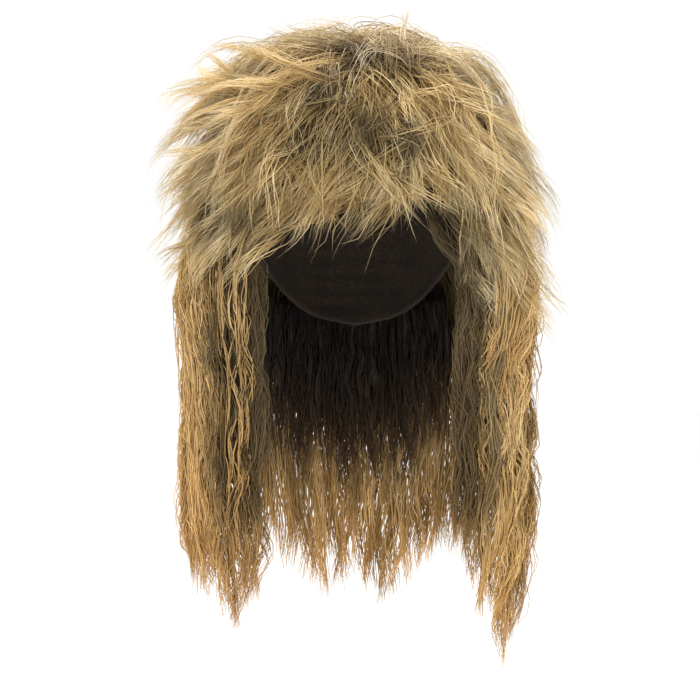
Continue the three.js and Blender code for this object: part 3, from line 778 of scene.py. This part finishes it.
finishes = dict(
    blondHair=dict(
        stops=[(0, (44, 32, 16)), (0.18, (82, 62, 32)), (0.38, (172, 144, 94)), (0.55, (228, 205, 152)),
               (0.85, (240, 220, 174)), (1, (250, 239, 206))],
        shade=(58, 42, 20), warm=(255, 224, 156),
    ),
    litTopHair=dict(  # paler and greyer than the rest: painted light, the top in full light
        stops=[(0, (44, 34, 20)), (0.18, (84, 67, 41)), (0.38, (174, 152, 111)), (0.55, (229, 212, 172)),
               (0.85, (242, 229, 196)), (1, (252, 245, 224))],
        shade=(58, 44, 24), warm=(255, 230, 184),
    ),
    longHair=dict(
        stops=[(0, (40, 28, 13)), (0.1, (110, 86, 48)), (0.2, (234, 210, 160)),
               (0.6, (222, 192, 136)), (1, (232, 190, 126))],
        shade=(48, 34, 16), warm=(255, 232, 182), roughness=0.48,
    ),
    darkHair=dict(
        stops=[(0, (18, 13, 9)), (0.5, (44, 32, 20)), (1, (92, 70, 42))],
        shade=(12, 9, 6), warm=(255, 235, 210),
    ),
)
hair = {name: hairMaterial(name, **finish) for name, finish in finishes.items()}

netSpec = Spec(
    knitScale=620, patchScale=40, patchDetail=3, patchVary=1.6,
    thread=(28, 22, 17), gap=(74, 61, 48), roughness=0.78, roughVary=0.2, bump=0.4, bumpHeight=0.0006,
)


# stretch net: a dark knit of small cells, paler between threads in patches, and their relief
def netMaterial(spec):
    material, shader, make = newMaterial("capNet")
    spot = make.node("ShaderNodeTexCoord", output=3)
    knit = make.node("ShaderNodeTexVoronoi", {"Vector": spot, "Scale": spec.knitScale})
    patch = make.node("ShaderNodeTexNoise", {
        "Vector": spot, "Scale": spec.patchScale, "Detail": spec.patchDetail})
    blend = make.math("MULTIPLY", knit, patch * spec.patchVary, clamp=True)
    make.mix(blend, colour(*spec.thread), colour(*spec.gap)).feed(shader, "Base Color")
    (spec.roughness + patch * spec.roughVary).feed(shader, "Roughness")
    relief = {"Strength": spec.bump, "Distance": spec.bumpHeight, "Height": knit}
    make.node("ShaderNodeBump", relief).feed(shader, "Normal")
    return material


net = netMaterial(netSpec)
print("materials made")

# the cap: sewn tracks run round its inside, and a band strengthens the rim
capSpec = Spec(
    columns=64, innerRows=70, outerRows=18, pole=0.02, trackEvery=13, trackRise=1, trackWide=0.28,
    bandWide=9, bandRise=0.9, bandEdge=1.5, tone=0.5, bake=(0, 1),
)


# rings down the inside of the head's form, less the relief, and up the outside: a track is a peak in
# every stretch of the arc, the band a step before the rim
def capRings(spec):
    azimuth = np.linspace(-180, 180, spec.columns, endpoint=False)[None]
    rim = rimAngle(azimuth)
    fall = rim * np.linspace(spec.pole, 1, spec.innerRows)[:, None]
    arc = np.radians(fall) * head.crown
    track = np.clip(1 - np.abs((arc / spec.trackEvery) % 1 - 0.5) / spec.trackWide, 0, 1)
    band = smooth((arc - np.radians(rim) * head.crown + spec.bandWide) / spec.bandEdge)
    relief = spec.trackRise * smooth(track) * (1 - band) + spec.bandRise * band
    inner = headPoint(azimuth, fall, -relief)
    outerFall = rim * np.linspace(1, spec.pole, spec.outerRows)[:, None]
    return np.concatenate([inner, headPoint(azimuth, outerFall, head.wall)])


capSkin = loftPart(capRings(capSpec), 0, capSpec.tone, 0, capSpec.bake)
makePiece("capPiece", [capSkin], net, "wig_cap")

# shared by the short layers; pairs are least and most, or where a change starts and its stretch
shortSpec = Spec(
    perLock=22, steps=8, thick=0.28, taperFrom=0.65, bake=(0.2, 0.9),
    waves=[(95, 3.8, 0.3), (55, 0.9, 0.6)],  # length, size and drift
    scatter=2.5, lowBias=0.8, length=(60, 110), whorlShare=0.95, whorlNear=12, reachShare=0.85,
    startHighest=-0.2, tousle=0.24, bend=0.1, bendSpread=0.22,
    sweep=0, sweepAzimuth=(-24, 14), sweepWay=(0.55, 0.25),
    inside=(14, 40), sideFrom=(30, 45), backFrom=(98, 26), backLess=0.6, rootCurve=1.4,  # roots' depth
    lift=(-14, -2), upper=0, upperWay=0.38, upperTall=0.24, upperEnd=(95, 30),
    flick=(-2, 16), flickRare=1.7, flickCurve=2.2, flickTop=0.5, flickFrom=(0.2, 0.35),  # calmer on top
    width=2.7, depth=2, wayShare=0.5, wayPerDegree=0.011, gather=0.92, gatherFrom=(0.3, 0.7),
    lengthSpread=0.08, stray=0.16, strayLoose=0.65, strayLength=(-0.1, 0.15), strayFlick=(-2, 8),
    tone=0.5, toneSpread=(0.15, 0.13), shade=24, shadeFrom=4, rooted=1,
    rootShare=0.42, rootFrom=(30, 65), rootSpread=0.05, rootMost=0.6, rootAcross=80,
)
crownSpec = Spec(
    shortSpec, locks=112, whorl=(13, -78), middle=(4, 4), spread=94, scatter=0.03, length=(70, 130),
    lengthSpread=0.1, rootBehind=0.4, tousle=0.45, curl=0.28, lift=(-12, -2), arc=(-2, 9), strayArc=(0, 8),
    arcCurve=0.8, sink=6, sinkOver=0.3, flick=(-2, 10), width=5, gatherRate=1.1, stray=0.3,
    toneSpread=(0.13, 0.15), shadeFrom=3, rootFrom=(5, 50), rootSpread=0.06, rootMost=0.55,
    waves=[(90, 3.2, 0.4), (60, 0.8, 0.8)],
)
tuftSpec = Spec(  # wild wisps that stand up from the top
    crownSpec, locks=36, perLock=11, spread=88, length=(50, 90), tousle=1, lift=(-7, 1), arc=(2, 12),
    flick=(2, 29), width=4, gather=0.82, rooted=0.4, bake=(0.91, 1),
)
crownInside = Spec(
    shortCore, columns=40, capFalls=[2, 12, 21, 29], ways=(-0.04, -0.57), topRows=9, sink=12, along=0.15)


# the crown's dense inside, painted dark as shade: rings out over the cap, up its edge and back over the
# top
def crownCore(spec):
    azimuth = np.linspace(-180, 180, spec.columns, endpoint=False)[None]
    low = headPoint(azimuth, np.array(spec.capFalls)[:, None], spec.overCap)
    ways = np.linspace(*spec.ways, spec.topRows)[:, None]
    rings = np.concatenate([low, canopyPoint(azimuth, ways, -spec.sink)])
    return loftPart(rings, spec.along, spec.tone, spec.deep, coreBake)


rng = np.random.default_rng(11)
parts = [crownCore(crownInside)] + crownStrands(rng, crownSpec) + crownStrands(rng, tuftSpec)
makePiece("crownHair", parts, hair["litTopHair"], "crown_weft")

# the fringe's low tone is partly painted shade, as it lies in shade over the brow, and partly darker
# strands of its own
fringeSpec = Spec(
    shortSpec, azimuth=(-52, 52), core=(-47, 47, 14, 0.68), highest=0.45,
    lowEdge=([-52, -26, 0, 20, 40, 52], [1.14, 1.1, 1.05, 0.99, 0.98, 1.1]), lowBias=0.55,
    locks=154, perLock=18, steps=10, thick=0.3, length=(100, 150), tousle=0.38, sweep=-16, inside=(8, 26),
    lift=(-12, -1), flick=(-1, 11), gather=0.8, tone=0.37, waves=[(72, 4.8, 0.35), (48, 1.2, 0.6)],
)
wispSpec = Spec(  # single wild strands over the front
    shortSpec, azimuth=(-60, 60), highest=0.45, lowEdge=([-60, 60], [1.06, 0.96]), lowBias=1,
    locks=60, perLock=8, steps=12, length=(90, 150), tousle=0.35, bend=0.25, inside=(6, 12), lift=(-3, 4),
    flick=(-2, 6), width=3.4, depth=1.2, gather=0.7, tone=0.52, rooted=0.4, bake=(0.91, 1),
    waves=[(66, 5.6, 0.3), (44, 1.4, 0.6)],
)
rng = np.random.default_rng(12)
parts = [canopyCore(*fringeSpec.core)] + canopyStrands(rng, fringeSpec) + canopyStrands(rng, wispSpec)
makePiece("fringeHair", parts, hair["blondHair"], "fringe_weft")

shagSpec = Spec(
    shortSpec, highest=0.12, lowEdge=([-180, 180], [1.36, 1.36]), lowBias=0.75, locks=172, perLock=20,
    coreSink=22, coreLow=0.8,
)
shagPieces = dict(
    shagLeft=Spec(
        shagSpec, node="shag_weft_left", seed=13, azimuth=(42, 138), core=(50, 131),
        upper=-2, flick=(-2, 26)),
    shagRight=Spec(
        shagSpec, node="shag_weft_right", seed=14, azimuth=(-138, -40), core=(-131, -50), highest=0.18,
        lift=(-19, -6), upper=20, flick=(-2, 33), tone=0.55),
    shagBack=Spec(
        shagSpec, node="shag_weft_back", seed=15, azimuth=(122, 238), core=(129, 231), inside=(14, 36),
        locks=146, perLock=17, thick=0.38),
)
for name, spec in shagPieces.items():
    core = canopyCore(*spec.core, spec.coreSink, spec.coreLow)
    strands = canopyStrands(np.random.default_rng(spec.seed), spec)
    makePiece(name, [core] + strands, hair["blondHair"], spec.node)

# shared by the long layers
tailSpec = Spec(
    locks=46, perLock=15, steps=31, thick=0.4, taperFrom=0.8, bake=(0.2, 0.8),
    waves=[(78, 4.6, 0.08), (40, 3.2, 0.1)], round=(0.42, 1.02), centre=0.92, tailGather=0.55,
    tailFrom=(0.2, 0.8), tipRound=[0.48, 0.585, 0.69, 0.79, 0.88, 0.97],
    rootDown=68, rootSpread=(-3, 8), rootOut=5, settle=55, shorter=30, shorterRare=2.2, ragged=5,
    width=0.015, layer=(-9, 9), depth=1.4, gather=0.74, gatherFrom=(0.15, 0.85), stray=0.16,
    strayLoose=0.8, drift=0, driftFrom=(250, 140), coreTaper=0.96, core=(0.47, 0.95, -330), hand=1,
    tone=0.52, toneSpread=(0.18, 0.11), shade=22, shadeBase=0.1, edge=(0.83, 0.09),  # dark beyond: dark under-hair and painted shade
    underShare=0.92, underDeep=0.95, streaked=0.06, streakDeep=0.76, endLight=0.85, endFrom=(285, 65),
)
veilSpec = Spec(  # half-long locks from the shag into the lengths
    tailSpec, round=(0.5, 0.86), tip=[-238] * 6, locks=14, perLock=16, steps=20, rootDown=60, shorter=95,
    layer=(7, 15), tone=0.55, edge=(2, 1), streaked=0, bake=(0.81, 0.94),
)
faceWispSpec = Spec(  # single bright waves over the hair beside the face, darkened as under-hair and painted shade
    tailSpec, round=(0.8, 1), tip=[-335] * 6, locks=8, perLock=7, steps=38, shorter=90, width=0.008,
    layer=(5, 10), depth=1, tone=0.38, edge=(2, 1), streaked=0, bake=(0.95, 1),
    waves=[(62, 3.4, 0.15), (35, 3.4, 0.15)],
)
leftSpec = Spec(
    tailSpec, seed=16, tip=[-350, -392, -419, -384, -377, -330], drift=-12, edge=(0.79, 0.09),
    tone=0.56,
)
rightSpec = Spec(
    tailSpec, seed=17, hand=-1, tip=[-334, -352, -364, -374, -392, -368], drift=10, edge=(0.77, 0.1),
    tone=0.6,
)
backSpec = Spec(
    tailSpec, seed=18, locks=52, perLock=18, steps=19,
    round=(-0.37, 0.37), centre=0, tailGather=0.96,
    tipRound=[-0.305, -0.2, -0.1, 0, 0.1, 0.2, 0.305], tip=[-342, -366, -386, -374, -390, -362, -346],
    width=0.028, thick=0.45, waves=[(90, 5, 0.1), (56, 2.4, 0.12)], bake=(0.2, 1),
    core=(-0.33, 0.33, -272),
)
longPieces = [
    ("leftLength", "side_weft_left",
     [leftSpec, veilSpec, Spec(faceWispSpec, locks=4, round=(0.76, 0.94))]),
    ("rightLength", "side_weft_right", [rightSpec, Spec(veilSpec, hand=-1), Spec(faceWispSpec, hand=-1)]),
    ("backLength", "back_weft", [backSpec]),
]
for name, node, layers in longPieces:
    rng = np.random.default_rng(layers[0].seed)
    parts = [curtainCore(layers[0], *layers[0].core)]
    for spec in layers:
        parts += longStrands(rng, spec)
    makePiece(name, parts, hair["longHair"], node)

# dark under-hair of the nape
napeSpec = Spec(
    azimuth=(120, 240), tipAzimuth=[130, 155, 180, 205, 230], tip=[-266, -294, -304, -286, -270],
    locks=26, perLock=15, steps=14, thick=0.5, body=4, taperFrom=0.6, bake=(0.2, 1),
    waves=[(70, 3, 0.4), (40, 1.8, 0.5)], rootDown=103, rootSpread=(-2, 6), rootOut=5, settle=40,
    shorter=50, ragged=7, width=5, gather=0.65, hangOut=8, depth=2.5, tone=0.5, toneSpread=0.2, deep=0.2,
)


# nape: locks drop from the cap's lower edge, straight down a little way off the head
def napeStrands(rng, spec):
    lock, loose, t, locks, strands = lockIndex(spec)
    spot = (np.arange(locks) + rng.uniform(0, 1, locks)) / locks
    lockAzimuth = between(spec.azimuth, spot)
    tip = tableCurve(spec.tipAzimuth, spec.tip, lockAzimuth)
    tip += spec.shorter * rng.uniform(0, 1, locks) ** 2
    aside = loose * rng.normal(0, spec.width, strands)
    down = spec.rootDown + rng.uniform(*spec.rootSpread, strands)
    start = headPoint(lockAzimuth[lock] + aside, down, spec.rootOut)
    azimuth = lockAzimuth[lock] + aside * (1 - spec.gather * smooth(t))
    off = spec.hangOut + loose * rng.normal(0, spec.depth, strands)
    place = headPoint(azimuth, spec.rootDown, off)
    tipHeight = tip[lock] + loose * rng.normal(0, spec.ragged, strands)
    height = start[..., 2] + (tipHeight - start[..., 2]) * t
    place[..., 2] = height
    paths = settled(start, place, height, spec.settle)
    paths = crimped(rng, lock, loose, paths, spec.waves)
    tone = np.clip(rng.normal(spec.tone, spec.toneSpread, strands), 0, 1)
    deep = np.full(height.shape, spec.deep)
    return lockParts(rng, spec, paths, planWay(azimuth), loose, tone, deep, np.zeros(strands))


parts = napeStrands(np.random.default_rng(19), napeSpec)
makePiece("napeHair", parts, hair["darkHair"], "nape_weft")

# the floor: one wide pale square under the hair
paper = {"Base Color": (0.985, 0.985, 0.985, 1), "Roughness": 0.9, "Specular IOR Level": 0.1}
stage = Spec(height=-0.5, half=12)
corner = np.array([[-1, -1, 0], [1, -1, 0], [1, 1, 0], [-1, 1, 0]]) * stage.half
mesh = bpy.data.meshes.new("floor")
mesh.from_pydata((corner + [0, 0, stage.height]).tolist(), [], [(0, 1, 2, 3)])
material, shader, _ = newMaterial("paper")
setInputs(shader, paper)
mesh.materials.append(material)
newObject("floor", mesh)

studio = dict(
    keyLight=dict(place=(-0.9, -1.6, 0.9), aim=(0, 0, -0.1), size=1.2, power=46),
    fillLight=dict(place=(1.3, -1.5, 0.4), aim=(0, 0, -0.15), size=1.4, power=30),
    topLight=dict(place=(0, 0.3, 1.7), aim=(0, 0, 0), size=1.2, power=24),
)
sky = {"Color": (1, 1, 1, 1), "Strength": 1.03}


# a soft round light turned to its aim: yaw from the way in plan, pitch from its fall
def softLight(name, place, aim, size, power):
    lamp = bpy.data.lights.new(name, "AREA")
    lamp.shape = "DISK"
    lamp.size = size
    lamp.energy = power
    lampObject = newObject(name, lamp)
    lampObject.location = place
    direction = np.array(aim) - place
    yaw = np.arctan2(direction[0], -direction[1])
    pitch = np.arctan2(np.hypot(direction[0], direction[1]), -direction[2])
    lampObject.rotation_euler = (-pitch, 0, np.pi + yaw)


for name, light in studio.items():
    softLight(name, **light)
world = bpy.data.worlds.new("studio")
world.use_nodes = True
setInputs(world.node_tree.nodes["Background"], sky)
bpy.context.scene.world = world
bpy.context.scene.view_settings.view_transform = "Standard"

cameraSpec = Spec(lens=135, sensor=36, place=(-0.0046, -2.02, -0.183))
camera = bpy.data.cameras.new("camera")
camera.lens = cameraSpec.lens
camera.sensor_width = cameraSpec.sensor
cameraObject = newObject("camera", camera)
cameraObject.location = cameraSpec.place
cameraObject.rotation_euler = (np.pi / 2, 0, 0)  # level, looking along +Y
bpy.context.scene.camera = cameraObject
print("stage set")
